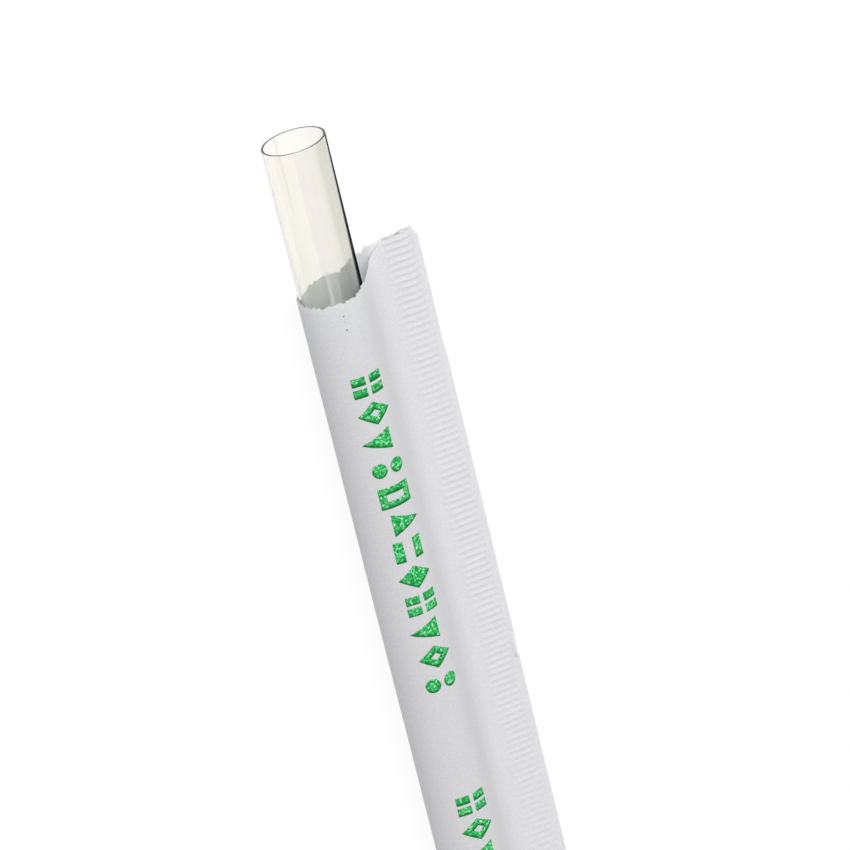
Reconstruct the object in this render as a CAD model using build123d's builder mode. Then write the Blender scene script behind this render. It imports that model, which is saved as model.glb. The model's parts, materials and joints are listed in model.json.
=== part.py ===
from build123d import *
import os
from math import acos, asin, atan, cos, degrees, hypot, pi, radians, sin, tan

# A drinking straw in its paper sleeve, as it lies on a table with the sleeve's top torn off.
# The sleeve is one strip of paper folded lengthwise round the straw. Its two long edges are knurled
# together into a flat fin, and its lower end is knurled shut across.
#
# Frame: +Z up, +X along the straw towards its open end, and the fin towards -Y.
# The origin is on the table, under the middle of the whole object.
# The tube lies on the table and so does the fin's outer edge, so the fin slopes down from the tube.

# The straw
straw_d = 6.0
straw_wall = 0.2
straw_length = 197.0
straw_showing = 15.0      # how far it stands out of the torn mouth
cut_slant = 3.0           # its top end is cut this many degrees off square

# The paper
paper = 0.08
straw_clearance = 0.11    # between the straw and the paper round it
crimp = 0.24              # overall thickness of two plies once they are knurled

# The fin, measured outwards from where the two plies meet
peel_angle = 47.0         # degrees round the tube from the fin to where each ply leaves the straw
root_radius = 1.0
plain_strip = 1.45
knurled_band = 2.4
fin_margin = 1.1

# The closed end
end_gap = 2.0             # full-width sleeve beyond the straw's lower end
taper_length = 9.0
end_seal = 5.0
taper_shares = (0.75, 0.5, 0.25)   # how much of the sleeve's radius is left at even steps of the taper

# The torn mouth, as points across the sleeve from its folded side to the fin's edge.
# Each is (share of the fin's reach from the tube's axis, height above the tear's low side).
tear_room = 5.0
front_tear = [(-0.45, 0.0), (-0.33, 0.0), (-0.21, -0.2), (-0.08, 0.1), (-0.02, -0.15), (0.14, 0.05),
              (0.23, 0.5), (0.31, 0.55), (0.38, 1.2), (0.49, 2.0)]
back_tear = [(-0.45, 0.0), (-0.33, 0.0), (-0.22, -0.25), (0.05, 0.3), (0.23, 0.6), (0.35, 1.8),
             (0.46, 2.7)]
fin_tear = [(0.6, 3.0), (0.74, 3.05), (0.83, 2.95), (0.95, 3.15), (1.0, 2.5), (1.1, 2.4)]

# Sleeve sizes that follow from these
straw_r = straw_d / 2
sleeve_in = straw_r + straw_clearance
sleeve_out = sleeve_in + paper
peel = radians(peel_angle)
ply_meet = sleeve_in / cos(peel)
band_start = ply_meet + plain_strip
fin_reach = band_start + knurled_band + fin_margin
ply_width = (sleeve_in + paper / 2) * (pi - peel + tan(peel))   # one ply, from the fold to the fin
flat_fold = ply_meet - ply_width
sheet_width = 2 * (fin_reach - flat_fold)

# The slope that puts both the tube and the fin's outer edge on the table
fin_slope = asin(sleeve_out / hypot(fin_reach, crimp / 2)) - atan(crimp / 2 / fin_reach)
across = Vector(0, -cos(fin_slope), -sin(fin_slope))
upward = Vector(0, -sin(fin_slope), cos(fin_slope))

# Where the tube's axis and the sleeve's features lie
reach_right = fin_reach * cos(fin_slope) + crimp / 2 * sin(fin_slope)
reach_left = -flat_fold * cos(fin_slope) + crimp / 2 * sin(fin_slope)
axis_y = (reach_right - reach_left) / 2
axis_z = sleeve_out
total_length = straw_length + end_gap + taper_length + end_seal
straw_top_x = total_length / 2
tear_x = straw_top_x - straw_showing
round_depth = straw_length - straw_showing + end_gap
flat_depth = round_depth + taper_length


def station(depth):
    """A plane square to the tube, this far below the tear's low side, with X along the fin."""
    return Plane(origin=(tear_x - depth, axis_y, axis_z), x_dir=across, z_dir=(-1, 0, 0))


def ply_outline(plane, radius, centre, rounded=0):
    """The outside of both plies: round a hollow of this radius, straight to the fin and along it."""
    outer = radius + paper
    lean = acos(radius / (ply_meet - centre))
    leave = (centre + outer * cos(lean), outer * sin(lean))
    root = (centre + (outer - paper * sin(lean)) / cos(lean), paper)
    with BuildSketch(plane) as section:
        with BuildLine():
            around = CenterArc((centre, 0), outer, degrees(lean), 360 - 2 * degrees(lean))
            Polyline(leave, root, (fin_reach, paper), (fin_reach, -paper), (root[0], -paper), around @ 1)
        make_face()
        if rounded:
            fillet(section.vertices().sort_by_distance(Vector(*root, 0))[:2], rounded)
    return section.sketch


def ply_hollow(plane, radius, centre):
    """The hollow between the plies: round, then the two plies closing to a crease."""
    lean = degrees(acos(radius / (ply_meet - centre)))
    with BuildSketch(plane) as section:
        with BuildLine():
            around = CenterArc((centre, 0), radius, lean, 360 - 2 * lean)
            Polyline(around @ 0, (ply_meet, 0), around @ 1)
        make_face()
    return section.sketch


# The taper: the hollow shrinks while the paper round it keeps its width, so its centre moves to the fold
taper = [(station(round_depth), sleeve_in, 0)]
for step, share in enumerate(taper_shares + (0,), start=1):
    radius = max(share * sleeve_in, crimp / 2 - paper)
    spread = ply_width - radius * pi / 2 - radius**2 / (2 * ply_width)
    depth = round_depth + taper_length * step / (len(taper_shares) + 1)
    taper.append((station(depth), radius, ply_meet - spread))

with BuildPart() as straw:
    with BuildSketch(station(-straw_showing - tear_room)):
        Circle(straw_r)
        Circle(straw_r - straw_wall, mode=Mode.SUBTRACT)
    extrude(amount=straw_length + tear_room)
    top_cut = Plane(
        origin=(straw_top_x, axis_y, axis_z),
        z_dir=(cos(radians(cut_slant)), sin(radians(cut_slant)), 0),
    )
    split(bisect_by=top_cut, keep=Keep.BOTTOM)
straw.part.label = "straw"

with BuildPart() as wrapper:
    # The long sleeve, from above the tear down past the straw's lower end, and the taper below it
    extrude(ply_outline(station(-tear_room), sleeve_in, 0, root_radius), amount=tear_room + round_depth)
    loft([ply_outline(*place) for place in taper], ruled=True)

    # The knurled band along the fin, and the knurled seal across the end
    with BuildSketch(station(-tear_room)):
        with Locations((band_start + knurled_band / 2, 0)):
            Rectangle(knurled_band, crimp)
    extrude(amount=tear_room + flat_depth)
    with BuildSketch(station(flat_depth)):
        with Locations(((flat_fold + fin_reach) / 2, 0)):
            Rectangle(sheet_width / 2, crimp)
    extrude(amount=end_seal)

    # The hollow
    extrude(ply_hollow(station(-tear_room), sleeve_in, 0), amount=tear_room + round_depth, mode=Mode.SUBTRACT)
    loft([ply_hollow(*place) for place in taper], ruled=True, mode=Mode.SUBTRACT)

    # The tear, cut down through the front ply and up through the back ply
    for tear, side in ((front_tear, 1), (back_tear, -1)):
        edge = [(share * fin_reach, height) for share, height in tear + fin_tear]
        with BuildSketch(Plane(origin=(tear_x, axis_y, axis_z), x_dir=across, z_dir=upward)):
            with BuildLine():
                Polyline(*edge, (edge[-1][0], 2 * tear_room), (edge[0][0], 2 * tear_room), close=True)
            make_face()
        extrude(amount=side * 2 * sleeve_out, mode=Mode.SUBTRACT)
wrapper.part.label = "wrapper"

os.makedirs("parts", exist_ok=True)
export_step(straw.part, "parts/straw.step")
export_step(wrapper.part, "parts/wrapper.step")

print("fin slope", round(degrees(fin_slope), 2), "degrees, fin reach", round(fin_reach, 2), "mm")
print("sheet", round(sheet_width, 2), "mm wide, overall length", round(total_length, 1), "mm")
print("tube axis at y", round(axis_y, 3), "z", round(axis_z, 3), "mm")
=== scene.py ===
# %% [markdown]
# # A drinking straw in its torn paper sleeve
# A clear plastic straw lies in the paper sleeve that it was packed in, and the sleeve's top has been
# torn off. The measured model of both comes first and stays fixed. Every piece made here has its place
# in that model's frame: millimetres in the notes, metres in the scene, +X along the straw towards its
# open end, +Z up, and the sleeve's fin towards -Y.

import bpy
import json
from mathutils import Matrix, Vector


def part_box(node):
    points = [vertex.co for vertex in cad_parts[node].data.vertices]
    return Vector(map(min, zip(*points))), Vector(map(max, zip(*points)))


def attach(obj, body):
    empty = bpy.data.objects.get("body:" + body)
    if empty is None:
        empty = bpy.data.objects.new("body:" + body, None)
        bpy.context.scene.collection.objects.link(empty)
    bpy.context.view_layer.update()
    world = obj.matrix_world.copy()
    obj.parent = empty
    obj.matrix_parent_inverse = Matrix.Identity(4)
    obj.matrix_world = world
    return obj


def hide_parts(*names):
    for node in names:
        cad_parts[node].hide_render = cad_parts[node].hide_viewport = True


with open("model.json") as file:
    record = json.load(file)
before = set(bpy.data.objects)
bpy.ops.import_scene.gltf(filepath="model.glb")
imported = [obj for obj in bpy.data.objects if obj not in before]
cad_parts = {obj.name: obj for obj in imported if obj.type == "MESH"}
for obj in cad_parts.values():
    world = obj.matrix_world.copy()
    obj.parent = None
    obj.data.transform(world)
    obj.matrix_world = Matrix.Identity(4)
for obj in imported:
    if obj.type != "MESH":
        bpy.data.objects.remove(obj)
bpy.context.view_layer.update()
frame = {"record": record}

# %% [markdown]
# ## Where things are
# The straw's axis and bore are read from the record, and its ends from its own box. The sleeve is drawn
# in a plane that slopes with the fin: `toward` runs from the straw's axis out to the fin's edge, and
# `above` stands square to it. A slope is needed because the fin, which starts level with the middle of
# the straw, comes down to the table at its outer edge.

# %% Read the places
import json
from functools import lru_cache
from math import acos, asin, atan, atan2, cos, floor, hypot, pi, radians, sin, sqrt, tan

import bmesh
import bpy
from mathutils import Matrix, Vector, noise

MM = 0.001             # one millimetre of the notes in the scene's metres

bore = next(m for m in frame["record"]["mounts"] if m["name"] == "straw_bore")
straw_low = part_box("straw")[0] / MM
sleeve_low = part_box("wrapper")[0] / MM

AXIS_Y = bore["pos_m"][1] / MM
AXIS_Z = bore["pos_m"][2] / MM
STRAW_R = AXIS_Z - straw_low.z
BORE_R = bore["dims"]["r_mm"]
STRAW_FOOT = straw_low.x
STRAW_TOP = STRAW_FOOT + bore["dims"]["length_mm"]
SLEEVE_END = sleeve_low.x
print("straw radius", round(STRAW_R, 3), "from", round(STRAW_FOOT, 2), "to", round(STRAW_TOP, 2))

# %% The sleeve's own sizes
STRAW_SHOWING = 15.0   # bare straw above the tear's low side
PAPER = 0.06           # thickness of the paper
SLEEVE_R = 3.18        # outside of the paper round the straw
PEEL = radians(47)     # angle round the straw between the fin and where each ply leaves it
FIN_REACH = 9.51       # from the straw's axis to the fin's outer edge
BAND_START = 5.9       # the knurled band, measured the same way
BAND_END = 8.9
SEAL = 5.0             # length of the knurled seal across the closed end
TAPER = 9.0            # length over which the sleeve flattens
TEAR = STRAW_TOP - STRAW_SHOWING

FIN_HALF = 0.12        # half the thickness of the knurled fin, which touches the table
SLOPE = asin(AXIS_Z / hypot(FIN_REACH, FIN_HALF)) - atan(FIN_HALF / FIN_REACH)
toward = Vector((0, -cos(SLOPE), -sin(SLOPE)))
above = Vector((0, -sin(SLOPE), cos(SLOPE)))
print("fin slopes", round(SLOPE * 180 / pi, 2), "degrees; tear at", round(TEAR, 1))

# %% [markdown]
# ## How a flat strip becomes the sleeve
# The real sleeve is one strip of paper. A machine folds it lengthwise round the straw, presses the two
# long edges together between knurled wheels, and cuts it across through a knurled seal. The same order
# works here: a flat strip is ruled into small cells, cut along the tear, and only then folded, so the
# paper keeps its width everywhere and a pattern ruled on the flat strip follows every bend.
#
# In a section square to the straw each ply starts at the fold, goes round a circle, leaves it on a
# tangent and meets the other ply at the fin. Past the straw's lower end the circle shrinks, and its
# centre moves so that the ply's length stays the same.

# %% The path of one ply in a section
ROUND = SLEEVE_R - PAPER / 2
MEET = ROUND / cos(PEEL)                         # where the two plies meet, from the axis
PLY = ROUND * (pi - PEEL + tan(PEEL))            # from the fold to there, along the paper
HALF_STRIP = PLY + FIN_REACH - MEET              # from the fold to the strip's edge
HALF_GAP = PAPER / 2 + 0.01                      # from the fin's middle to the middle of a ply
HALVINGS = 50                                    # steps of the search, which settle the last digit


@lru_cache(maxsize=None)
def centre_to_meet(radius):
    """How far the circle's centre is from where the plies meet, for a ply of constant length."""
    near, far = radius, 2 * PLY
    for _ in range(HALVINGS):
        middle = (near + far) / 2
        length = radius * (pi - acos(radius / middle)) + sqrt(middle**2 - radius**2)
        near, far = (middle, far) if length < PLY else (near, middle)
    return middle


def ply_path(along, radius):
    """Where a point this far from the fold is, and which way is outwards, as (toward, above) pairs."""
    distance = centre_to_meet(radius)
    lean = acos(radius / distance)
    centre = MEET - distance
    arc = radius * (pi - lean)
    if along < arc:
        angle = pi - along / radius
        return centre + radius * cos(angle), radius * sin(angle), cos(angle), sin(angle)
    run = along - arc
    straight = distance * sin(lean)
    if run < straight:
        s = centre + radius * cos(lean) + run * sin(lean)
        t = radius * sin(lean) - run * cos(lean)
        return s, max(t, HALF_GAP), cos(lean), sin(lean)
    return MEET + run - straight, HALF_GAP, 0.0, 1.0


print("strip", round(2 * HALF_STRIP, 2), "mm wide; plies meet", round(MEET, 2), "mm from the axis")

# %% [markdown]
# ## The relief of the paper
# Four things move the paper off its ideal path. The knurling wheels press both plies together into
# ridges across the fin, and into ridges along the straw in the end seal. The ridges get shallower and
# less even away from the mouth. Handling has left slow waves with a few faint creases, which only stand
# away from the straw. The fin's cut edge wanders a little and has one small step. And at one nick that
# edge is pushed in and curled up. Each amount is a function of a point's place on the flat strip, so
# the sleeve and the ink on it share them. Smooth noise gives what changes slowly, and a fixed chance
# gives what differs from one ridge to the next.

# %% Smooth steps, chance and noise
def ease(value, low, high):
    """0 below low, 1 above high, and a smooth rise between."""
    share = min(max((value - low) / (high - low), 0.0), 1.0)
    return share * share * (3 - 2 * share)


def chance(number, salt):
    """A fixed value from -1 to 1 that looks random, for a ridge or a tuft: the same on every run."""
    return 2 * ((sin(number * 12.9898 + salt * 78.233) * 43758.5453) % 1.0) - 1


def cloud(x, y, salt):
    """Smooth noise from about -1 to 1. A step of 1 in x or y takes it to the next patch."""
    return noise.noise(Vector((x, y, salt)))


print("a ridge's chance", round(chance(1, 1), 2), "and a patch of noise", round(cloud(0.5, 0.5, 3), 2))

# %% Knurled ridges
PITCH = 0.67           # from one ridge to the next
RIDGE = 0.085          # about half the height of a ridge
UNEVEN_START = 0.1     # how far the ridges' inner ends stray from the band's edge
UNEVEN_END = 0.18      # and their outer ends
WORN_FROM = 15         # the ridges lose depth from this far below the tear
WORN_TO = 60           # and have lost the most here
WORN_LOSS = 0.45       # the share of the depth that is lost


def crest(turns):
    """A wave with narrow crests and wide troughs, once for each whole turn, from -0.5 to 1.5."""
    return 2 * (0.5 + 0.5 * sin(2 * pi * turns)) ** 2 - 0.5


def knurl(s, x):
    """How far the knurling pushes both plies up, at this place across and along the fin."""
    ridge = floor(x / PITCH)
    start = BAND_START + UNEVEN_START * chance(ridge, 1)
    end = BAND_END + UNEVEN_END * chance(ridge, 2)
    band = ease(s, start, start + 0.25) * (1 - ease(s, end - 0.3, end))
    worn = ease(TEAR - x, WORN_FROM, WORN_TO)
    depth = (0.85 + 0.35 * cloud(x * 0.06, 0, 3) + 0.2 * chance(ridge, 4)) * (1 - WORN_LOSS * worn)
    slant = 0.05 * (s - BAND_START) + worn * 0.16 * cloud(s * 0.9, x * 0.5, 5)
    on_fin = depth * band * crest((x + slant) / PITCH)
    sealed = ease(SLEEVE_END + SEAL - x, 0, 0.3) * ease(x - SLEEVE_END, 0.2, 0.5)
    return RIDGE * (on_fin * (1 - sealed) + sealed * crest(s / PITCH))


print("ridges every", PITCH, "mm, about", round(2 * RIDGE, 2), "mm from trough to crest")

# %% Waves, the fin's edge and the nick
NICK_X = TEAR - 41.0   # the nick in the fin's edge
NICK_DEEP = 0.3        # how far the edge is pushed in there
NICK_CURL = 0.5        # how far it is curled up
STEP_X = TEAR - 9.9    # a small step where the strip's edge was cut
STEP_OUT = 0.09        # below the step the edge stands this much further out
EDGE_IN = 0.05         # the whole edge is drawn in this much, which centres the step on the fin's reach
FIN_WAVE = 0.07        # how far the fin's edge waves up and down


def waves(u, x):
    """How far the paper stands away from its path, in slow waves with a few faint creases."""
    # Waves about 22 mm and 6 mm long, and creases about 2 mm apart that run round the sleeve.
    slow = 0.02 + 0.025 * cloud(x * 0.045, u * 0.1, 11) + 0.012 * cloud(x * 0.16, u * 0.3, 12)
    crease = max(0.0, 1 - abs(cloud(x * 0.55, u * 0.05, 13)) * 9) * 0.012
    return max(0.0, slow + crease)


def nick(x):
    """1 at the nick's deepest place, and 0 beyond its ends; its lower end is the sharper one."""
    return ease(x, NICK_X - 1.35, NICK_X - 1.2) * (1 - ease(x, NICK_X - 1.2, NICK_X + 1.3))


def edge_shift(x):
    """How far the fin's outer edge lies outside its straight line."""
    step = STEP_OUT * (1 - ease(x, STEP_X - 0.15, STEP_X + 0.05))
    return 0.03 * cloud(x * 0.2, 0, 21) + step - EDGE_IN - NICK_DEEP * nick(x)


print("at the nick the fin's edge lies", round(-edge_shift(NICK_X - 1.2), 2), "mm inside its line")

# %% Fold a point of the strip
def sleeve_radius(x):
    """The radius of a section's circle, which shrinks along the taper."""
    share = ease(x, SLEEVE_END + SEAL - 0.3 * TAPER, SLEEVE_END + SEAL + TAPER)
    return max(ROUND * share, HALF_GAP)


def fold(u, x, lift=0.0):
    """Where a point of the flat strip goes. u is across it from the fold, positive on the upper ply."""
    side = 1 if u >= 0 else -1
    s, t, out_s, out_t = ply_path(abs(u), round(sleeve_radius(x), 4))
    stand = lift + waves(u, x) * ease(x, SLEEVE_END, SLEEVE_END + 4)
    outer = ease(s, BAND_END, FIN_REACH)
    s, t = s + out_s * stand + edge_shift(x) * outer, side * (t + out_t * stand)
    curl = NICK_CURL * nick(x) * ease(s, FIN_REACH - 0.6, FIN_REACH - 0.05)
    t += knurl(s, x) + FIN_WAVE * outer * cloud(x * 0.09, 0, 31) + curl
    return Vector((x, AXIS_Y, AXIS_Z)) + s * toward + t * above


print("the fold's line at the tear:", [round(c, 2) for c in fold(0, TEAR)])

# %% [markdown]
# ## The torn mouth
# A tear in paper never follows a line. Its broad course is given here by points across the sleeve, one
# list for the upper ply and one for the lower, which share the part on the fin because both plies are
# pressed together there and tore as one. Noise at two sizes bends that course. The fibres at the very
# edge are pulled out by different amounts, so finer noise and short tufts come on top of it.

# %% The course of the tear
# Each point is (toward, height above the tear's low side).
UPPER_TEAR = [(-3.3, 0.05), (-3.07, -0.03), (-2.0, -0.22), (-0.77, 0.06), (-0.21, -0.13), (1.29, 0.04),
              (2.21, 0.53), (2.95, 0.55), (3.63, 1.23), (4.19, 1.67), (4.70, 1.98), (5.31, 2.56)]
LOWER_TEAR = [(-3.3, 0.05), (-2.09, -0.25), (0.46, 0.32), (2.14, 0.61), (3.30, 1.80), (3.72, 2.10),
              (4.40, 2.71), (5.0, 2.85)]
FIN_TEAR = [(5.74, 3.01), (7.0, 3.05), (7.91, 2.95), (9.0, 3.16), (9.36, 2.55), (9.8, 2.45)]
TORN_AS_ONE = 5.3      # from here out to the fin's edge both plies have the same tear


def tear_height(u):
    """How far the tear stands above its low side, at this place across the strip."""
    s = ply_path(abs(u), round(ROUND, 4))[0]
    course = (UPPER_TEAR if u >= 0 else LOWER_TEAR) + FIN_TEAR
    for (s0, h0), (s1, h1) in zip(course, course[1:]):
        if s <= s1:
            break
    height = h0 + (h1 - h0) * min(max((s - s0) / (s1 - s0), 0), 1)
    ply = 41 if s < TORN_AS_ONE and u < 0 else 40
    return height + 0.16 * cloud(u * 1.1, 0, ply) + 0.1 * cloud(u * 3.1, 5, ply)


def pulled_fibres(u):
    """How far fibres stand out of the tear: smooth noise, and tufts about 0.4 and 0.2 mm wide."""
    tuft = 0.07 * chance(floor(u * 2.3), 9) + 0.05 * chance(floor(u * 6.1), 10)
    return 0.2 * cloud(u * 2.4, 0, 51) + 0.2 * cloud(u * 5.5, 0, 52) + tuft


print("tear stands", round(tear_height(HALF_STRIP - 0.5), 2), "mm above its low side on the fin")

# %% [markdown]
# ## The flat strip
# The strip is ruled before it is folded: closely across the round part, so that it bends smoothly, and
# in panels on the fin, so that a row of cells starts where the knurled band starts. One grid gives the
# cells, and its rows and columns are then moved to those rulings. More cells everywhere would be simpler
# but heavy. So only the places that need them are divided again: the knurled band and the end seal, to
# show each ridge, the edge round the nick, and the mouth, to be ragged.

# %% Rule the strip
def ruling(*panels):
    """Places that divide each (end, parts) panel evenly, starting from the first panel's end."""
    places = [panels[0][0]]
    for end, parts in panels[1:]:
        start = places[-1]
        places += [start + (end - start) * (k + 1) / parts for k in range(parts)]
    return places


to_band = PLY + BAND_START - MEET
from_band = PLY + BAND_END - MEET
half_rows = ruling((0, 0), (PLY, 30), (to_band, 4), (from_band, 5), (HALF_STRIP, 4))
rows = [-u for u in reversed(half_rows[1:])] + half_rows
flat_end = SLEEVE_END + SEAL
ridges = round((TEAR - flat_end - TAPER) / PITCH)
columns = ruling((SLEEVE_END, 0), (flat_end, 10), (flat_end + TAPER, 20), (TEAR - 0.4, ridges), (TEAR, 1))

strip = bmesh.new()
bmesh.ops.create_grid(strip, x_segments=len(columns) - 1, y_segments=len(rows) - 1, size=1)
for v in strip.verts:
    column = round((v.co.x + 1) / 2 * (len(columns) - 1))
    row = round((v.co.y + 1) / 2 * (len(rows) - 1))
    v.co = (columns[column], rows[row], 0)
print("strip of", len(rows) - 1, "by", len(columns) - 1, "cells")

# %% Divide the cells that need it
def lengthwise(edge):
    """Whether an edge of the flat strip runs along the straw."""
    return abs(edge.verts[0].co.y - edge.verts[1].co.y) < 1e-6


def mid(edge):
    """The middle of an edge."""
    return (edge.verts[0].co + edge.verts[1].co) / 2


def divide(edges, cuts):
    """Cuts these edges evenly, and the cells between them."""
    bmesh.ops.subdivide_edges(strip, edges=edges, cuts=cuts, use_grid_fill=True)


divide([e for e in strip.edges if lengthwise(e) and to_band - 0.01 < abs(mid(e).y) < from_band + 0.01
        and mid(e).x > flat_end], 5)
divide([e for e in strip.edges if lengthwise(e) and abs(mid(e).y) > from_band + 0.02
        and abs(mid(e).x - NICK_X) < 3], 5)
divide([e for e in strip.edges if not lengthwise(e) and mid(e).x < flat_end + 0.01], 2)
divide([e for e in strip.edges if e.is_boundary and mid(e).x > TEAR - 0.001], 5)
print("strip now has", len(strip.faces), "cells")

# %% Tear the strip's upper end
# The `torn` attribute says how pale the pulled fibres are: most on the fin, where both plies tore.
DRAWN_UP = 20          # this much of the strip below the tear is drawn up to its course

for v in strip.verts:
    v.co.x += tear_height(v.co.y) * ease(v.co.x, TEAR - DRAWN_UP, TEAR)
torn = strip.verts.layers.float.new("torn")
for v in strip.verts:
    if v.is_boundary and abs(v.co.y) < HALF_STRIP - 0.01 and v.co.x > TEAR - 1:
        v.co.x += pulled_fibres(v.co.y)
        v[torn] = 0.15 + 0.85 * ease(abs(v.co.y), PLY + 0.5, PLY + 1.5)
print("torn edge of", sum(v[torn] > 0 for v in strip.verts), "points")

# %% [markdown]
# ## Folding it up
# Every point of the strip keeps its flat place in a UV map before it moves, so the paper's texture stays
# ruled on the sheet. Folding moves each point with the path above. Where the plies meet, that path turns
# a sharp corner, but stiff paper comes into the fin in a soft curve, so the points there are smoothed
# within their own section. The sheet gets its thickness inwards. Last, the side that looks at the straw
# is marked, because less light reaches it and it shows more of the light that comes through the paper.

# %% Fold the strip and thicken it
UV_MM = 10             # one unit of the paper's UV map
ROOT_FROM = PLY - 2.4  # the smoothed zone, from the fold along the strip
ROOT_TO = PLY + 1.15
ROOT_PASSES = 12       # how often it is smoothed
NEAR_STRAW = 1.15      # paper within this many radii of the axis goes round the straw

flat_map = strip.loops.layers.uv.new("flat_sheet")
for face in strip.faces:
    for loop in face.loops:
        loop[flat_map].uv = loop.vert.co.xy / UV_MM
root = [v for v in strip.verts if ROOT_FROM < abs(v.co.y) < ROOT_TO and v.co.x > flat_end
        and not v.is_boundary]
for v in strip.verts:
    v.co = fold(v.co.y, v.co.x, PAPER / 2)
for _ in range(ROOT_PASSES):
    bmesh.ops.smooth_vert(strip, verts=root, factor=0.5, use_axis_y=True, use_axis_z=True)
strip.normal_update()
top_face = max(strip.faces, key=lambda f: f.calc_center_median().z)
if top_face.normal.z < 0:
    bmesh.ops.reverse_faces(strip, faces=strip.faces[:])
bmesh.ops.solidify(strip, geom=strip.faces[:], thickness=PAPER)
strip.normal_update()
inside = strip.verts.layers.float.new("inside")
for v in strip.verts:
    from_axis = v.co - Vector((v.co.x, AXIS_Y, AXIS_Z))
    v[inside] = float(v.normal.dot(from_axis) < 0 and from_axis.length < NEAR_STRAW * ROUND and v.co.x > 0)
print("smoothed", len(root), "points and marked", sum(v[inside] > 0 for v in strip.verts), "inside")

# %% Finish the sleeve
def finish_piece(bm, name, sharp=40):
    """Turns a bmesh in millimetres into a named object in metres, smooth apart from its sharp edges."""
    bmesh.ops.scale(bm, verts=bm.verts[:], vec=(MM, MM, MM))
    mesh = bpy.data.meshes.new(name)
    bm.to_mesh(mesh)
    bm.free()
    mesh.shade_smooth()
    mesh.set_sharp_from_angle(angle=radians(sharp))
    piece = bpy.data.objects.new(name, mesh)
    bpy.context.scene.collection.objects.link(piece)
    triangles = sum(len(p.vertices) - 2 for p in mesh.polygons)
    print(name, "has", triangles, "triangles")
    return piece


# The sheet's flat length runs from the closed end to the middle of the tear, 1.4 mm above its low side.
paper_sleeve = finish_piece(strip, "paper_sleeve", 60)
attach(paper_sleeve, "wrapper")
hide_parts("wrapper")

# %% [markdown]
# ## The straw
# A straw is extruded as an endless tube, so its faults run lengthwise: the die leaves faint lines, and
# the wall is never quite even. The knife that cuts it to length leaves a thin, slightly dull edge. One
# circle is drawn out into a tube with a slight ripple round it, the end is cut off square apart from a
# few degrees, and the wall is given its thickness inwards. The real wall matters more than usual here,
# because the eye sees a clear straw only by what its wall bends and reflects.

# %% Draw the tube and cut it
SEGMENTS = 128             # round the tube
SECTIONS = 40              # along it
SPARE = 2                  # the tube is drawn this much too long before it is cut
RIPPLE_ROOM = 0.012        # taken off the radius, so the ripple doesn't make the straw thicker
CUT_SLANT = radians(3.0)


def everything(bm):
    """All points, edges and faces of a bmesh, for a cut."""
    return bm.verts[:] + bm.edges[:] + bm.faces[:]


tube = bmesh.new()
ring = bmesh.ops.create_circle(tube, segments=SEGMENTS, radius=STRAW_R,
                               matrix=Matrix.Rotation(pi / 2, 4, "Y"))
bmesh.ops.translate(tube, verts=ring["verts"], vec=(STRAW_FOOT, 0, 0))
end_ring = tube.edges[:]
section = (STRAW_TOP + SPARE - STRAW_FOOT) / SECTIONS
for _ in range(SECTIONS):
    drawn = bmesh.ops.extrude_edge_only(tube, edges=end_ring)["geom"]
    new_points = [v for v in drawn if isinstance(v, bmesh.types.BMVert)]
    bmesh.ops.translate(tube, verts=new_points, vec=(section, 0, 0))
    end_ring = [e for e in drawn if isinstance(e, bmesh.types.BMEdge) and e.is_boundary]
for v in tube.verts:
    angle = atan2(v.co.z, v.co.y)
    wander = 0.003 * cloud(v.co.x * 0.02, angle, 61)
    ripple = 0.006 * sin(7 * angle + 0.4) + 0.004 * sin(11 * angle + 2) + wander
    v.co.y *= 1 + (ripple - RIPPLE_ROOM) / STRAW_R
    v.co.z *= 1 + (ripple - RIPPLE_ROOM) / STRAW_R
knife = Vector((cos(CUT_SLANT), sin(CUT_SLANT), 0))
bmesh.ops.bisect_plane(tube, geom=everything(tube), plane_co=(STRAW_TOP, 0, 0), plane_no=knife,
                       clear_outer=True)
bmesh.ops.translate(tube, verts=tube.verts[:], vec=(0, AXIS_Y, AXIS_Z))
bmesh.ops.recalc_face_normals(tube, faces=tube.faces[:])
bmesh.ops.solidify(tube, geom=tube.faces[:], thickness=STRAW_R - BORE_R)
straw_tube = finish_piece(tube, "straw_tube", 40)
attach(straw_tube, "straw")
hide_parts("straw")

# %% [markdown]
# ## The printed marks
# The paper is printed in one colour by a flexographic press: a soft raised plate squeezes thin ink onto
# the moving strip. It is drawn as a row of plain shapes that mean nothing, repeated along the sleeve.
# Ink could be painted by the paper's material, but a mark with its own thin film keeps a clean edge at
# any distance. Each mark is stamped flat on the strip's plan, sliced finely, folded with the same
# function as the paper, and thickened. Each shape is a little darker along its outline, most along its
# edges towards the closed end, so the points on a mark's outline carry an attribute that darkens them.

# %% A stamp, and the shapes it makes
MARK_ROW = 5.15        # the middle of the row, from the fold
MARK_TALL = 3.4        # across the strip
MARK_WIDE = 2.15       # along it

plan = bmesh.new()


def stamp(sides, x, y, wide, tall, turn=0.0, stroke=0.0):
    """Adds a flat polygon to the plan, and leaves only its outline if a stroke is given."""
    size = Matrix.Diagonal((wide, tall, 1, 1))
    place = Matrix.Translation((x, y, 0)) @ size @ Matrix.Rotation(turn, 4, "Z")
    made = bmesh.ops.create_circle(plan, cap_ends=True, segments=sides, radius=0.5, matrix=place)
    face = made["verts"][0].link_faces[0]
    if stroke:
        bmesh.ops.inset_region(plan, faces=[face], thickness=stroke, use_boundary=True,
                               use_even_offset=True)
        bmesh.ops.delete(plan, geom=[face], context="FACES")


def lozenge(x, stroke=0.0):
    stamp(4, x, MARK_ROW, MARK_WIDE * 1.1, MARK_TALL, stroke=stroke)


def block(x, y, wide, tall, stroke=0.0):
    stamp(4, x, y, wide * sqrt(2), tall * sqrt(2), turn=pi / 4, stroke=stroke)


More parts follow.
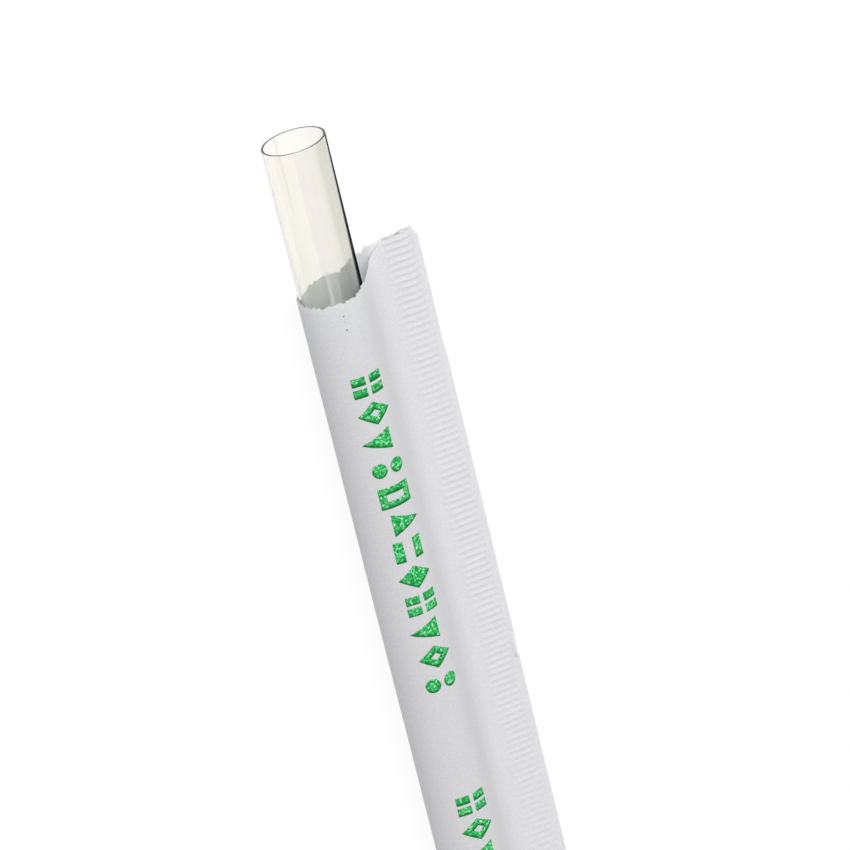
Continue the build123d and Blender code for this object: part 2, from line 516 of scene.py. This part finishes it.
def wedge(x, turn):
    stamp(3, x, MARK_ROW, MARK_WIDE * 1.2, MARK_TALL * 1.15, turn=turn)


def open_block(x):
    block(x, MARK_ROW, MARK_WIDE, MARK_TALL * 0.94, stroke=0.72)


def dots(x):
    for side in (-1, 1):
        stamp(20, x, MARK_ROW + side * MARK_TALL * 0.27, MARK_WIDE * 0.68, MARK_TALL * 0.43)


def four_blocks(x):
    for step in (-0.27, 0.27):
        for side in (-1, 1):
            y = MARK_ROW + side * MARK_TALL * 0.26
            block(x + step * MARK_WIDE, y, MARK_WIDE * 0.4, MARK_TALL * 0.4)


def two_bars(x):
    for side in (-1, 1):
        block(x, MARK_ROW + side * MARK_TALL * 0.29, MARK_WIDE, MARK_TALL * 0.28)


print("marks", MARK_WIDE, "by", MARK_TALL, "mm")

# %% Stamp the marks on the plan
MARK_STEP = 2.86       # from one mark to the next
FIRST_MARK = TEAR - 7.5 - MARK_WIDE / 2
ROW_REPEAT = 44.8      # from one group of marks to the next
LAST_GROUP = STRAW_FOOT + 40    # no group starts below this
MARKS = [
    four_blocks,
    lambda x: lozenge(x, 0.66),
    lambda x: wedge(x, pi),
    dots,
    open_block,
    lambda x: wedge(x, 0),
    two_bars,
    lozenge,
    four_blocks,
    lambda x: wedge(x, pi),
    lambda x: lozenge(x, 0.66),
    dots,
]

group = FIRST_MARK
while group > LAST_GROUP:
    for number, mark in enumerate(MARKS):
        mark(group - number * MARK_STEP)
    group -= ROW_REPEAT
# Three specks of stray ink lie just below the tear.
for behind, size in ((1.3, 0.13), (1.9, 0.08), (2.7, 0.15)):
    stamp(8, TEAR - behind, MARK_ROW - 0.7, size, size)
print("the plan has", len(plan.faces), "shapes")

# %% Slice the marks and darken their edges towards the closed end
SLICE = 0.24           # from one cut to the next
SLICES_OUT = 8         # cuts on each side of the row's middle
EDGE_WANDER = 0.03     # how far the ink's outline strays

for k in range(-SLICES_OUT, SLICES_OUT + 1):
    cut = (0, MARK_ROW + k * SLICE, 0)
    bmesh.ops.bisect_plane(plan, geom=everything(plan), plane_co=cut, plane_no=(0, 1, 0))
low_mark = min(v.co.x for v in plan.verts)
for k in range(int((FIRST_MARK + 2 - low_mark) / SLICE)):
    cut = (low_mark + k * SLICE, 0, 0)
    bmesh.ops.bisect_plane(plan, geom=everything(plan), plane_co=cut, plane_no=(1, 0, 0))
dark_edge = plan.verts.layers.float.new("dark_edge")
for v in plan.verts:
    if v.is_boundary:
        inward = sum((f.calc_center_median() - v.co for f in v.link_faces), Vector())
        v[dark_edge] = 0.3 + 0.9 * ease(inward.normalized().x, -0.2, 0.7)
        v.co.x += EDGE_WANDER * cloud(v.co.x * 3, v.co.y * 3, 71)
        v.co.y += EDGE_WANDER * cloud(v.co.x * 3, v.co.y * 3, 72)
# The points next to the outline take a little of its darkness, so the dark edge fades inwards.
rim = {v: v[dark_edge] for v in plan.verts}
for v in plan.verts:
    v[dark_edge] = max(rim[v], 0.9 * max(rim[e.other_vert(v)] for e in v.link_edges) - 0.3)
print("sliced into", len(plan.faces), "faces")

# %% Fold the marks onto the sleeve
FILM = 0.014           # thickness of the ink

lifted = bmesh.ops.extrude_face_region(plan, geom=plan.faces[:], use_keep_orig=True)["geom"]
raised = {v for v in lifted if isinstance(v, bmesh.types.BMVert)}
for v in plan.verts:
    v.co = fold(v.co.y, v.co.x, PAPER / 2 + (FILM if v in raised else 0))
bmesh.ops.recalc_face_normals(plan, faces=plan.faces[:])
print_marks = finish_piece(plan, "print_marks", 40)
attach(print_marks, "wrapper")

# %% [markdown]
# ## Nodes and colours
# Colours are given as they look on a screen, in hex, and one function turns them into the linear numbers
# that a shader needs. One function adds a node, with its settings and its links. A Mix node of colours
# has its amount at input 0 and its two colours at 6 and 7, and gives the result at output 2.

# %% Helpers for materials
def colour(code):
    """An sRGB hex colour as linear RGBA."""
    parts = [int(code[k:k + 2], 16) / 255 for k in (1, 3, 5)]
    return [c / 12.92 if c <= 0.04045 else ((c + 0.055) / 1.055) ** 2.4 for c in parts] + [1.0]


def add(tree, kind, inputs=None, **settings):
    """Adds one node. Each input is a plain value or another node's output."""
    made = tree.nodes.new(kind)
    for name, value in settings.items():
        setattr(made, name, value)
    for name, value in (inputs or {}).items():
        if isinstance(value, bpy.types.NodeSocket):
            tree.links.new(value, made.inputs[name])
        else:
            made.inputs[name].default_value = value
    return made


def new_material(name):
    """An empty node material and its node tree."""
    material = bpy.data.materials.new(name)
    material.use_nodes = True
    material.node_tree.nodes.clear()
    return material, material.node_tree


def cover(piece, material):
    """Gives a piece its material."""
    piece.data.materials.append(material)
    print(piece.name, "is made of", material.name, "with", len(material.node_tree.nodes), "nodes")


print("mid grey is", round(colour("#808080")[0], 3), "in linear light")

# %% [markdown]
# ## Thin wrapping paper
# The sleeve is bleached machine-finished paper of about 40 grams a square metre, uncoated. That makes it
# matt and slightly cool white, cloudy where the fibres lie thicker, and so thin that much of the light
# goes through it. Its grain is patterned on the flat strip's own UV map, so it bends with the paper.
# Three patterns carry it: cloudy patches in the colour, and fibres and the marks of the wire that the
# pulp drained on in the bump. Real fibres are about 0.03 mm wide, too fine to show, so they are drawn
# at 0.125 mm. A shader for light from the front is mixed with one for light from behind. The face that
# looks at the straw, which is in shade, gets more of the light from behind and a greyer tone, which is
# painted shade on paper that is white on both faces.

# %% Wrapping paper
CLOUD_MM = 0.25        # size of a patch in the paper's tone
FIBRE_MM = 0.125       # drawn width of a fibre, coarser than the real one so that it shows
WIRE_SCALE = 14.0      # lines 0.22 mm apart, because this texture repeats about 3.2 times in a unit
WIRE_SHARE = 0.12      # the wire's part in the bump, against the fibres'
BUMP_M = 0.00004       # height of the bump, in metres
SEEN_THROUGH = (0.38, 0.7)    # the share of light from behind, outside and inside


def thin_wrapping_paper():
    """White paper with cloudy patches, a fibrous surface and light coming through."""
    material, tree = new_material("thin_wrapping_paper")
    sheet_place = add(tree, "ShaderNodeUVMap", uv_map="flat_sheet").outputs["UV"]
    formation = add(tree, "ShaderNodeTexNoise", {
        "Vector": sheet_place, "Scale": UV_MM / CLOUD_MM, "Detail": 5.0, "Roughness": 0.7,
    })
    cloudy = add(tree, "ShaderNodeMapRange", {
        "Value": formation.outputs["Fac"], "From Min": 0.3, "From Max": 0.7,
    })
    tone = add(tree, "ShaderNodeMix", {0: cloudy.outputs[0], 6: colour("#E7E7EA"), 7: colour("#F4F4F6")},
               data_type="RGBA")
    # The fibres pulled out of the tear have nothing behind them, and look paler.
    fibre_edge = add(tree, "ShaderNodeAttribute", attribute_name="torn")
    pale = add(tree, "ShaderNodeMix", {
        0: fibre_edge.outputs["Fac"], 6: tone.outputs[2], 7: colour("#FCFCFC"),
    }, data_type="RGBA")
    # The face that looks at the straw gets a greyer tone, which is painted shade.
    in_shade = add(tree, "ShaderNodeAttribute", attribute_name="inside")
    paper = add(tree, "ShaderNodeMix", {
        0: in_shade.outputs["Fac"], 6: pale.outputs[2], 7: colour("#DEE5E5"),
    }, data_type="RGBA")
    wire = add(tree, "ShaderNodeTexWave", {
        "Vector": sheet_place, "Scale": WIRE_SCALE, "Distortion": 2.5, "Detail": 2.0, "Detail Scale": 3.0,
    }, bands_direction="X")
    fibres = add(tree, "ShaderNodeTexNoise", {
        "Vector": sheet_place, "Scale": UV_MM / FIBRE_MM, "Detail": 5.0, "Roughness": 0.7,
    })
    height = add(tree, "ShaderNodeMath", {0: wire.outputs["Fac"], 1: WIRE_SHARE, 2: fibres.outputs["Fac"]},
                 operation="MULTIPLY_ADD")
    bump = add(tree, "ShaderNodeBump", {"Height": height.outputs[0], "Distance": BUMP_M, "Strength": 1.0})
    shader = add(tree, "ShaderNodeBsdfPrincipled", {
        "Base Color": paper.outputs[2], "Normal": bump.outputs["Normal"],
        "Roughness": 0.82, "IOR": 1.5, "Specular IOR Level": 0.3,
    })
    through = add(tree, "ShaderNodeBsdfTranslucent", {
        "Color": paper.outputs[2], "Normal": bump.outputs["Normal"],
    })
    thinness = add(tree, "ShaderNodeMapRange", {
        "Value": in_shade.outputs["Fac"], "To Min": SEEN_THROUGH[0], "To Max": SEEN_THROUGH[1],
    })
    both = add(tree, "ShaderNodeMixShader", {
        0: thinness.outputs[0], 1: shader.outputs[0], 2: through.outputs[0],
    })
    add(tree, "ShaderNodeOutputMaterial", {"Surface": both.outputs[0]})
    return material


cover(paper_sleeve, thin_wrapping_paper())

# %% [markdown]
# ## Clear straw plastic
# The straw is extruded clear plant-based plastic. It is as smooth as glass and bends light a little less
# than glass does, with a faint warm tint. The die leaves one lengthwise fault, a brownish line. Round
# the wall run bands of painted reflection and shade, a shade lighter or darker, and along the top a
# faintly milky band of painted reflection. So the material works out the angle round the straw from its
# Object coordinates, and the lighter and darker bands are stops on a colour ramp over that angle.
#
# A clear tube is drawn mostly by its outline. There light crosses the wall at a slant: it picks up more
# tint, and at the very edge it is turned away and leaves a dark line. Refraction alone shows both too
# faintly here, so they are painted where the surface is seen at a slant.

# %% Places round the straw
DIE_LINE = radians(-56.6)    # angles are from the side of the fold
PAINTED_REFLECTION_BAND = radians(97)
TINT_AND_PAINTED_BANDS = [(-179, "#F2F1EB"), (-150, "#FCFAF6"), (0, "#FDFBF6"), (80, "#FDFBF6"), (86, "#F5F2F1"),
             (106, "#F5F2F1"), (112, "#F9F8F3"), (124, "#F7F5F0"), (132, "#E9E7E0"), (150, "#E9E7E0"),
             (179, "#F2F1EB")]


def straw_places(tree):
    """The place as seen from the straw's axis, and the angle round it."""
    spot = add(tree, "ShaderNodeTexCoord").outputs["Object"]
    centred = add(tree, "ShaderNodeMapping", {"Vector": spot, "Location": (0, -AXIS_Y * MM, -AXIS_Z * MM)})
    split = add(tree, "ShaderNodeSeparateXYZ", {"Vector": centred.outputs[0]})
    angle = add(tree, "ShaderNodeMath", {0: split.outputs["Z"], 1: split.outputs["Y"]}, operation="ARCTAN2")
    return split, angle


def off_angle(tree, angle, line):
    """How far a place is from a line along the straw, as an angle."""
    turned = add(tree, "ShaderNodeMath", {0: angle.outputs[0], 1: line}, operation="SUBTRACT")
    return add(tree, "ShaderNodeMath", {0: turned.outputs[0]}, operation="ABSOLUTE").outputs[0]


print(len(TINT_AND_PAINTED_BANDS), "stops round the straw; the die line is at", round(DIE_LINE / pi * 180, 1), "degrees")

# %% Tint of the wall, with painted bands of reflection and shade
def tint_and_painted_bands(tree, split, angle):
    """Tint in painted bands of reflection and shade round the straw, and the die line fading away from the
    open end.
    """
    turn = add(tree, "ShaderNodeMapRange", {"Value": angle.outputs[0], "From Min": -pi, "From Max": pi})
    # A new ramp has black at its start and white at its end. They stay, and fall within one degree
    # of the straw's fin side.
    tint = add(tree, "ShaderNodeValToRGB", {"Fac": turn.outputs[0]})
    # The stops lighter or darker than the ivory are painted reflection and shade.
    for degrees, code in TINT_AND_PAINTED_BANDS:
        band = tint.color_ramp.elements.new(0.5 + degrees / 360)
        band.color = colour(code)
    die_line = add(tree, "ShaderNodeMapRange", {
        "Value": off_angle(tree, angle, DIE_LINE), "From Min": 0.05, "From Max": 0.0, "To Max": 0.5,
    })
    fading = add(tree, "ShaderNodeMapRange", {
        "Value": split.outputs["X"], "From Min": (STRAW_TOP - 8) * MM, "From Max": (STRAW_TOP - 1) * MM,
        "To Min": 0.1, "To Max": 1.0,
    })
    faint = add(tree, "ShaderNodeMath", {0: die_line.outputs[0], 1: fading.outputs[0]},
                operation="MULTIPLY")
    scored = add(tree, "ShaderNodeMix", {
        0: faint.outputs[0], 6: tint.outputs["Color"], 7: colour("#D8C8B6"),
    }, data_type="RGBA")
    return scored.outputs[2]


def dark_outline(tree, split, facing, fin_side):
    """Where the straw's outer face is seen edge on, most on the fin's side and more near the tear."""
    deeper = add(tree, "ShaderNodeMapRange", {
        "Value": split.outputs["X"], "From Min": STRAW_TOP * MM, "From Max": TEAR * MM,
        "To Min": -0.14, "To Max": 0.03,
    })
    edge_on = add(tree, "ShaderNodeMath", {0: facing.outputs["Facing"], 1: deeper.outputs[0]},
                  operation="ADD")
    outline = add(tree, "ShaderNodeMapRange", {
        "Value": edge_on.outputs[0], "From Min": 0.52, "From Max": 0.62,
    })
    square_on = add(tree, "ShaderNodeCombineXYZ", {"Y": split.outputs["Y"], "Z": split.outputs["Z"]})
    radius = add(tree, "ShaderNodeVectorMath", {0: square_on.outputs[0]}, operation="LENGTH")
    outside = add(tree, "ShaderNodeMath", {0: radius.outputs["Value"], 1: (STRAW_R + BORE_R) / 2 * MM},
                  operation="GREATER_THAN")
    sided = add(tree, "ShaderNodeMath", {0: outline.outputs[0], 1: fin_side.outputs[0]},
                operation="MULTIPLY")
    return add(tree, "ShaderNodeMath", {0: sided.outputs[0], 1: outside.outputs[0]}, operation="MULTIPLY")


print("the outer face is beyond", round((STRAW_R + BORE_R) / 2, 2), "mm from the axis")

# %% Clear plastic
def clear_straw_plastic():
    """Clear tinted plastic, with painted reflection on top and a painted dark outline, which lets shadow
    rays through.
    """
    material, tree = new_material("clear_extruded_plastic")
    split, angle = straw_places(tree)
    facing = add(tree, "ShaderNodeLayerWeight", {"Blend": 0.5})
    fin_side = add(tree, "ShaderNodeMapRange", {
        "Value": split.outputs["Y"], "From Min": STRAW_R * MM, "From Max": -STRAW_R * MM,
        "To Min": 0.08, "To Max": 1.0,
    })
    slant = add(tree, "ShaderNodeMapRange", {
        "Value": facing.outputs["Facing"], "From Min": 0.1, "From Max": 0.6,
    })
    longer = add(tree, "ShaderNodeMath", {0: slant.outputs[0], 1: fin_side.outputs[0]},
                 operation="MULTIPLY")
    through_wall = add(tree, "ShaderNodeMix", {
        0: longer.outputs[0], 6: tint_and_painted_bands(tree, split, angle), 7: colour("#E2E2DC"),
    }, data_type="RGBA")
    shader = add(tree, "ShaderNodeBsdfPrincipled", {
        "Base Color": through_wall.outputs[2], "Roughness": 0.03, "IOR": 1.46, "Transmission Weight": 1.0,
    })
    # A pale band along the top of the straw is painted reflection.
    reflection_band_share = add(tree, "ShaderNodeMapRange", {
        "Value": off_angle(tree, angle, PAINTED_REFLECTION_BAND), "From Min": radians(13), "From Max": radians(8),
        "To Max": 0.08,
    })
    painted_reflection = add(tree, "ShaderNodeBsdfDiffuse", {"Color": colour("#F0EAEA")})
    with_painted_reflection = add(tree, "ShaderNodeMixShader", {
        0: reflection_band_share.outputs[0], 1: shader.outputs[0], 2: painted_reflection.outputs[0],
    })
    trapped = dark_outline(tree, split, facing, fin_side)
    dark = add(tree, "ShaderNodeBsdfDiffuse", {"Color": colour("#050608")})
    edged = add(tree, "ShaderNodeMixShader", {
        0: trapped.outputs[0], 1: with_painted_reflection.outputs[0], 2: dark.outputs[0],
    })
    # Light reaches the paper and the table through the straw as through a thin clear sheet.
    path = add(tree, "ShaderNodeLightPath")
    clear = add(tree, "ShaderNodeBsdfTransparent", {"Color": colour("#F3F6F5")})
    lit = add(tree, "ShaderNodeMixShader", {
        0: path.outputs["Is Shadow Ray"], 1: edged.outputs[0], 2: clear.outputs[0],
    })
    add(tree, "ShaderNodeOutputMaterial", {"Surface": lit.outputs[0]})
    return material


cover(straw_tube, clear_straw_plastic())

# %% [markdown]
# ## Green printing ink
# Flexographic ink is thin and water-based. On uncoated paper it sinks in and dries nearly matt, and the
# soft plate presses it on unevenly, so it is mottled from dark green to almost bare paper. Noise in
# Object coordinates makes the mottle, and a colour ramp turns it into the ink's tones. The mottle is
# drawn with patches of about 0.26 mm, a little coarser than the finest real ones, so that it shows.
# An attribute on each mark's outline brings the full dark ink back along its edges, most towards the closed
# end.

# %% Printing ink
MOTTLE = 3900.0        # patches in a metre, so each is about 0.26 mm across
INK_TONES = [(0.4, "#0A7A34"), (0.48, "#1FA04C"), (0.55, "#45C06C"), (0.61, "#85DBA0"), (0.66, "#DCF1E1")]


def flexographic_ink():
    """Thin green water-based ink, mottled where the plate pressed unevenly."""
    material, tree = new_material("green_flexographic_ink")
    spot = add(tree, "ShaderNodeTexCoord").outputs["Object"]
    mottle = add(tree, "ShaderNodeTexNoise", {
        "Vector": spot, "Scale": MOTTLE, "Detail": 3.0, "Roughness": 0.8,
    })
    # The ramp's own black start and white end stay, and pull its outer tones darker and paler.
    thin = add(tree, "ShaderNodeValToRGB", {"Fac": mottle.outputs["Fac"]})
    for amount, code in INK_TONES:
        tone = thin.color_ramp.elements.new(amount)
        tone.color = colour(code)
    edge = add(tree, "ShaderNodeAttribute", attribute_name="dark_edge")
    edge_darkness = add(tree, "ShaderNodeMapRange", {
        "Value": edge.outputs["Fac"], "From Min": 0.1, "From Max": 0.7,
    })
    full = add(tree, "ShaderNodeMix", {
        0: edge_darkness.outputs[0], 6: thin.outputs["Color"], 7: colour("#07702C"),
    }, data_type="RGBA")
    shader = add(tree, "ShaderNodeBsdfPrincipled", {
        "Base Color": full.outputs[2], "Roughness": 0.55, "IOR": 1.5, "Specular IOR Level": 0.15,
    })
    add(tree, "ShaderNodeOutputMaterial", {"Surface": shader.outputs[0]})
    return material


cover(print_marks, flexographic_ink())

# %% [markdown]
# ## The table
# The table is a plain white board that runs on far behind the object and becomes its background. A lit
# board alone would show the lights' fall-off as grey corners. So most of its brightness is an even glow
# of its own, as if it were lit from all round, and a darker base colour takes the soft shadows.

# %% White board
TABLE_HALF = 3000      # half of the board's side

table = bmesh.new()
bmesh.ops.create_grid(table, x_segments=1, y_segments=1, size=TABLE_HALF)
studio_table = finish_piece(table, "studio_table")


def white_table_board():
    """Matt white board under and behind the object."""
    material, tree = new_material("white_table_board")
    shader = add(tree, "ShaderNodeBsdfPrincipled", {
        "Base Color": colour("#606060"), "Roughness": 0.9, "Specular IOR Level": 0.0,
        "Emission Color": colour("#FFFFFF"), "Emission Strength": 0.88,
    })
    add(tree, "ShaderNodeOutputMaterial", {"Surface": shader.outputs[0]})
    return material


cover(studio_table, white_table_board())

# %% [markdown]
# ## Lights
# The ridges show only if more light comes from one side than from the other, and soft shadows need large
# lights. So one large softbox stands beyond the open end on the fin's side, and a much weaker one across
# from it lifts the fold's side. An even grey world fills the rest, like a pale room.

# %% Two softboxes and a room
LIT_POINT = (0.05, 0, 0)     # both lights aim at the sleeve, a little below the mouth
SOFTBOX_SIDE = 0.5


def softbox(name, place, power):
    """A square soft light at a place, turned to the lit point."""
    lamp = bpy.data.lights.new(name, "AREA")
    lamp.shape = "RECTANGLE"
    lamp.size = lamp.size_y = SOFTBOX_SIDE
    lamp.energy = power
    lamp.color = (1.0, 0.985, 1.0)
    holder = bpy.data.objects.new(name, lamp)
    holder.location = place
    holder.rotation_euler = (Vector(LIT_POINT) - Vector(place)).to_track_quat("-Z", "Y").to_euler()
    bpy.context.scene.collection.objects.link(holder)
    print(name, "is", round((Vector(place) - Vector(LIT_POINT)).length, 2), "m away, at", power, "W")


softbox("key_softbox", (0.42, -0.22, 0.6), 3.7)
softbox("fill_softbox", (0.3, 0.5, 0.5), 0.3)
world = bpy.data.worlds.new("studio_air")
bpy.context.scene.world = world
world.use_nodes = True
air = world.node_tree.nodes["Background"]
air.inputs["Color"].default_value = (0.5, 0.5, 0.5, 1)
air.inputs["Strength"].default_value = 1.32
bpy.context.scene.view_settings.view_transform = "Standard"

# %% [markdown]
# ## The camera
# The camera looks down at the mouth from 410 mm away, tilted towards the open end and rolled, so that
# the straw runs up the frame at a slant. Its three axes are built from those angles: `back` points from
# the object to the camera, and `up` is the straw's direction as the camera sees it, rolled.

# %% Camera
AIM = Vector((74.83, -3.92, 0)) * MM
DISTANCE = 0.410
TILT = radians(24.81)    # towards the open end
SWING = radians(1.62)    # towards the fold
ROLL = radians(13.71)

back = Vector((sin(TILT), sin(SWING) * cos(TILT), cos(SWING) * cos(TILT)))
along = (Vector((1, 0, 0)) - back * back.x).normalized()
sideways = (-back).cross(along)
up = along * cos(ROLL) + sideways * sin(ROLL)
right = (-back).cross(up)
lens = bpy.data.cameras.new("straw_camera")
lens.lens = 187.2
lens.sensor_width = 36.0
camera = bpy.data.objects.new("straw_camera", lens)
turned = Matrix((right, up, back)).transposed().to_4x4()
camera.matrix_world = Matrix.Translation(AIM + back * DISTANCE) @ turned
bpy.context.scene.collection.objects.link(camera)
bpy.context.scene.camera = camera
print("camera at", [round(c, 3) for c in AIM + back * DISTANCE], "m")
